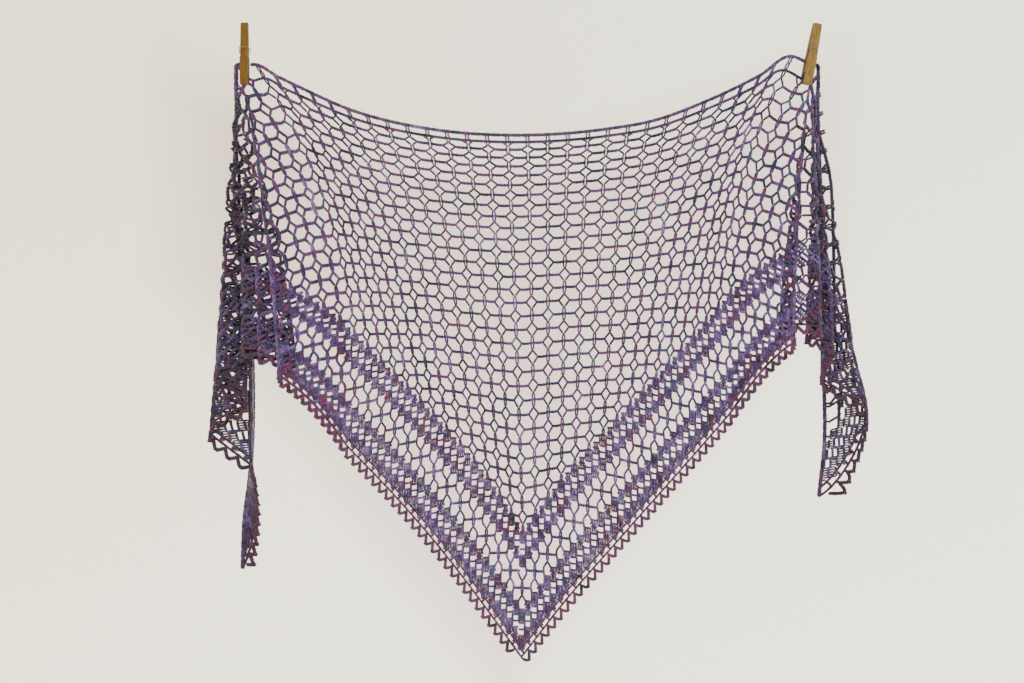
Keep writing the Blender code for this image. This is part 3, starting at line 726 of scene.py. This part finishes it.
def yarn_material(name, stops):
    """Variegated yarn: short runs of colour along each strand, two plies, and painted shade between the
    folds.
    """
    n = Nodes(name)
    u, v, number = n.split(n.add("ShaderNodeAttribute", attribute_name="yarn").outputs["Vector"])
    run, cosine, sine = n.split(n.add("ShaderNodeAttribute", attribute_name="ply").outputs["Vector"])
    spot = n.add("ShaderNodeCombineXYZ")
    n.link(u, spot.inputs[0])
    n.link(v, spot.inputs[1])
    n.link(n.value("MULTIPLY", number, 0.9), spot.inputs[2])

    runs = n.noise(spot.outputs[0], scale=0.62, detail=2.0, roughness=0.6)
    tone = n.value("MULTIPLY_ADD", number, TONE_SHIFT, 0.5 - TONE_SHIFT / 2)
    spread = n.value("MULTIPLY_ADD", n.value("SUBTRACT", runs, 0.5), 2.0, tone)
    flecks = n.noise(spot.outputs[0], scale=6.0, detail=2.0, roughness=0.6)
    light = n.ramp(flecks, ((0.3, (0.5, 0.5, 0.5)), (0.72, (1.5, 1.5, 1.5))))
    colour = n.product(1.0, n.ramp(spread, stops), light)

    # Painted shade between the folds: darkest halfway back in a fall, where the folds would shadow the yarn
    back = n.split(n.object_place())[1]
    depth = n.value("MINIMUM", n.value("MAXIMUM", n.value("DIVIDE", back, FOLD_DEPTH), 0.0), 1.0)
    painted_fold_shade = n.value("MULTIPLY_ADD", n.value("SINE", n.value("MULTIPLY", depth, math.pi)), -FOLD_PAINTED_SHADE, 1.0)

    angle = n.value("ARCTAN2", sine, cosine)
    twist = n.value("MULTIPLY_ADD", run, TWIST, n.value("MULTIPLY", angle, PLIES))
    n.bump(n.value("SINE", twist), strength=0.7, distance=0.0003)
    return n.finish(n.product(1.0, colour, painted_fold_shade), Roughness=0.72, Sheen_Weight=0.15, Sheen_Roughness=0.4,
                    Specular_IOR_Level=0.25)


FIELD_STOPS = ((0.08, BLACK_VIOLET), (0.24, NAVY), (0.38, DUSK), (0.5, VIOLET), (0.62, PLUM), (0.74, TEAL),
               (0.9, LILAC))
BAND_STOPS = ((0.08, BLACK_VIOLET), (0.22, PLUM), (0.36, NAVY), (0.52, VIOLET), (0.64, LILAC), (0.76, TEAL),
              (0.92, PLUM))
PICOT_STOPS = ((0.1, BLACK_VIOLET), (0.34, PLUM), (0.55, DUSK), (0.72, PLUM), (0.92, NAVY))


def wood_material(name, light, dark):
    """Bare beech, its grain along the peg."""
    n = Nodes(name)
    stretch = n.add("ShaderNodeMapping")
    stretch.inputs["Scale"].default_value = (900.0, 900.0, 60.0)
    n.link(n.object_place(), stretch.inputs["Vector"])
    grain = n.noise(stretch.outputs[0], scale=1.0, detail=5.0, roughness=0.6)
    n.bump(grain, strength=0.3, distance=0.0002)
    return n.finish(n.ramp(grain, ((0.3, dark), (0.62, light))), Roughness=0.7, Specular_IOR_Level=0.1)


def steel_material():
    """Spring wire, a little tarnished."""
    n = Nodes("spring_wire")
    wear = n.noise(n.object_place(), scale=900.0, detail=3.0)
    colour = n.ramp(wear, ((0.35, (0.07, 0.06, 0.045)), (0.65, (0.17, 0.15, 0.12))))
    return n.finish(colour, Metallic=1.0, Roughness=0.34)


# The view: its width at the shawl and its centre, in metres, the lens and its sensor, in millimetres, and the
# camera's place in front, in metres
VIEW_WIDTH = 1.188
VIEW_X = -0.0174
VIEW_Z = -0.3265
LENS = 100.0
SENSOR = 36.0
EYE_Y = -0.007 - VIEW_WIDTH * LENS / SENSOR


# The shawl's soft shadow, painted on the wall, in metres at the shawl: how far it falls to the left and down,
# its tip, how much wider it gets for each metre above the tip, its greatest half width, its top in the
# middle, how fast the top rises to the sides, and how soft its sides and its top are
SHADE_LEFT = 0.03
SHADE_DOWN = 0.015
SHADE_TIP = -0.7125
SHADE_SPREAD = 0.8
SHADE_HALF_WIDTH = 0.385
SHADE_TOP = -0.085
SHADE_RISE = 0.78
SHADE_SOFT_SIDE = 0.11
SHADE_SOFT_TOP = 0.09
# Only the wall behind the shawl, further back than this, takes the painted shadow
SHADE_FROM_Y = 1.0


def painted_shawl_shadow(n, x, y, z):
    """How deep a point of the wall lies in the shawl's soft shadow, painted on the wall, from 0 to 1."""
    scale = n.value("DIVIDE", -EYE_Y, n.value("SUBTRACT", y, EYE_Y))
    x = n.value("MULTIPLY_ADD", n.value("SUBTRACT", x, VIEW_X), scale, VIEW_X + SHADE_LEFT)
    z = n.value("MULTIPLY_ADD", n.value("SUBTRACT", z, VIEW_Z), scale, VIEW_Z + SHADE_DOWN)
    widening = n.value("MULTIPLY_ADD", z, SHADE_SPREAD, -SHADE_TIP * SHADE_SPREAD)
    half_width = n.value("MINIMUM", widening, SHADE_HALF_WIDTH)
    inside = n.value("SUBTRACT", half_width, n.value("ABSOLUTE", x))
    top = n.value("MULTIPLY_ADD", n.value("MULTIPLY", x, x), SHADE_RISE, SHADE_TOP)
    below = n.value("SUBTRACT", top, z)
    shade = n.value("GREATER_THAN", y, SHADE_FROM_Y)
    for edge, softness in ((inside, SHADE_SOFT_SIDE), (below, SHADE_SOFT_TOP)):
        ramp = n.value("MULTIPLY_ADD", edge, 1 / softness, 0.4)
        shade = n.value("MULTIPLY", shade, n.value("MINIMUM", n.value("MAXIMUM", ramp, 0.0), 1.0))
    return shade


def wall_with_painted_light(left, right, reach, shade):
    """Matt paint with painted light across it, darker and warmer on the left, and the shawl's painted shadow.
    """
    n = Nodes("cove_painted_light")
    x, y, z = n.split(n.object_place())
    # Painted light across the wall, darker and warmer towards the left
    across = n.value("MULTIPLY_ADD", x, 0.5 / reach, 0.5)
    colour = n.ramp(across, ((0.0, left), (1.0, right)))
    return n.finish(n.product(painted_shawl_shadow(n, x, y, z), colour, (*shade, 1.0)), Roughness=0.9)


# How near to a peg, in metres of flat cloth, no strand is drawn. By the strands' length and width, their yarn
# covers from 0.24 to 0.34 of each piece's flat rectangle. The share is one round figure for all six sheets:
# by the strands' length and width, their yarn covers from 0.24 to 0.34 of the rectangle.
PEG_CLEARANCE = 0.004


def make_lace():
    """Every strand of the shawl, in one piece for each kind of stitch and each stretch that shows."""
    field_yarn, border_yarn, edge_yarn, cord_yarn = Yarn(), Yarn(), Yarn(), Yarn()
    lattice(field_yarn)
    dense_band(border_yarn, INNER_BAND, STAR_BAND)
    star_band(border_yarn)
    dense_band(border_yarn, OUTER_BAND, EDGING)
    edging(edge_yarn)
    long_edge(cord_yarn)

    field_finish = yarn_material("variegated_yarn", FIELD_STOPS)
    band_finish = yarn_material("variegated_yarn_bands", BAND_STOPS)
    picot_finish = yarn_material("plum_yarn", PICOT_STOPS)
    low, high = PEG_COLUMN["left"], PEG_COLUMN["right"]

    def far(u, v):
        near_left = np.hypot((u - low) * COLUMN, v * HALF_ROW)
        near_right = np.hypot((u - high) * COLUMN, v * HALF_ROW)
        return (near_left > PEG_CLEARANCE) & (near_right > PEG_CLEARANCE)

    regions = {
        "front": lambda u, v: (u >= low) & (u <= high) & far(u, v),
        "left": lambda u, v: (u < low) & far(u, v),
        "right": lambda u, v: (u > high) & far(u, v),
    }
    kinds = (
        ("lattice", field_yarn, field_finish, "violet_crochet"),
        ("bands", border_yarn, band_finish, "navy_plum_crochet"),
        ("picots", edge_yarn, picot_finish, "plum_picots"),
        ("cord", cord_yarn, field_finish, "violet_crochet"),
    )
    for where, keep in regions.items():
        for kind, yarn, finish, slot in kinds:
            piece = yarn.build("%s_%s" % (kind, where), finish, keep, PLUMP[where])
            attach(piece, "root")
    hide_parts("field_front")
    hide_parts("border_front")
    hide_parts("edging_front")
    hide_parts("edge_cord_front")
    for where in ("left", "right"):
        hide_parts("fall_%s" % where, "bunch_%s" % where)
        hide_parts("edge_cord_%s" % where)


def finish_pegs():
    """Wood and wire for the CAD's own pegs; the left one is the browner."""
    wood = {
        "left": wood_material("peg_wood_left", (0.09, 0.049, 0.009), (0.044, 0.022, 0.003)),
        "right": wood_material("peg_wood_right", (0.14, 0.092, 0.028), (0.065, 0.036, 0.009)),
    }
    steel = steel_material()
    for where in ("left", "right"):
        for part in ("front_leg", "back_leg", "spring"):
            node = bpy.data.objects["peg_%s_%s" % (where, part)]
            for slot in node.material_slots:
                slot.material = steel if part == "spring" else wood[where]


# The room, in metres: its floor's height and radius, the cove's radius and the wall's top
FLOOR = -1.3
FLOOR_RADIUS = 3.6
COVE_RADIUS = 1.6
WALL_TOP = 6.0
ROOM_SIDES = 64
# The paint on the left, in painted shade, and on the right, in painted light, how far out it reaches them,
# and the tint of the painted shadow
PAINTED_SHADE_LEFT = (0.92, 0.88, 0.75)
PAINTED_LIGHT_RIGHT = (0.98, 0.98, 0.935)
PAINTED_LIGHT_REACH = 1.6
SHADE_TINT = (0.72, 0.63, 0.67)


def make_room():
    """One pale round cove, open above."""
    room = bmesh.new()
    profile = [(0.0, FLOOR), (FLOOR_RADIUS, FLOOR)]
    for a in np.linspace(0.15, math.pi / 2, 9):
        profile.append((FLOOR_RADIUS + COVE_RADIUS * math.sin(a), FLOOR + COVE_RADIUS * (1 - math.cos(a))))
    profile.append((FLOOR_RADIUS + COVE_RADIUS, WALL_TOP))
    for (r0, z0), (r1, z1) in zip(profile, profile[1:]):
        for i in range(ROOM_SIDES):
            a, b = 2 * math.pi * i / ROOM_SIDES, 2 * math.pi * (i + 1) / ROOM_SIDES
            corners = [(r0, z0, a), (r1, z1, a), (r1, z1, b), (r0, z0, b)]
            if r0 == 0.0:
                corners = corners[:3]
            room.faces.new([room.verts.new((r * math.cos(t), r * math.sin(t), z)) for r, z, t in corners])
    bmesh.ops.remove_doubles(room, verts=room.verts, dist=1e-5)
    bmesh.ops.recalc_face_normals(room, faces=room.faces)
    for face in room.faces:
        face.smooth = True
    mesh = bpy.data.meshes.new("cove")
    room.to_mesh(mesh)
    room.free()
    mesh.materials.append(wall_with_painted_light(PAINTED_SHADE_LEFT, PAINTED_LIGHT_RIGHT, PAINTED_LIGHT_REACH, SHADE_TINT))
    cove = bpy.data.objects.new("cove", mesh)
    bpy.context.collection.objects.link(cove)


# Each row: name, place, size, power and colour of a square lamp that faces the middle of the shawl
LAMPS = (
    ("key", (-1.6, -3.0, 1.5), 1.6, 85, (1.0, 0.98, 0.95)),
    ("fill", (2.2, -2.6, 0.4), 2.0, 35, (0.95, 0.97, 1.0)),
    ("wall_wash", (0.0, 2.4, 2.6), 2.4, 240, (1.0, 0.99, 0.97)),
)
LIT_POINT = Vector((0, 0, -0.35))


def light_room():
    """An even warm sky and the lamps."""
    world = bpy.data.worlds.new("studio")
    world.use_nodes = True
    sky = world.node_tree.nodes["Background"]
    sky.inputs["Color"].default_value = (1.0, 0.98, 0.94, 1.0)
    sky.inputs["Strength"].default_value = 2.3
    bpy.context.scene.world = world
    for name, place, size, power, colour in LAMPS:
        lamp = bpy.data.lights.new(name, "AREA")
        lamp.size = size
        lamp.energy = power
        lamp.color = colour
        made = bpy.data.objects.new(name, lamp)
        made.location = place
        made.rotation_euler = (LIT_POINT - Vector(place)).to_track_quat("-Z", "Y").to_euler()
        bpy.context.collection.objects.link(made)


def place_camera():
    camera = bpy.data.cameras.new("camera")
    camera.lens = LENS
    camera.sensor_width = SENSOR
    eye = bpy.data.objects.new("camera", camera)
    eye.location = (VIEW_X, EYE_Y, VIEW_Z)
    eye.rotation_euler = (math.radians(90), 0, 0)
    bpy.context.collection.objects.link(eye)
    bpy.context.scene.camera = eye


make_lace()
finish_pegs()
make_room()
light_room()
place_camera()
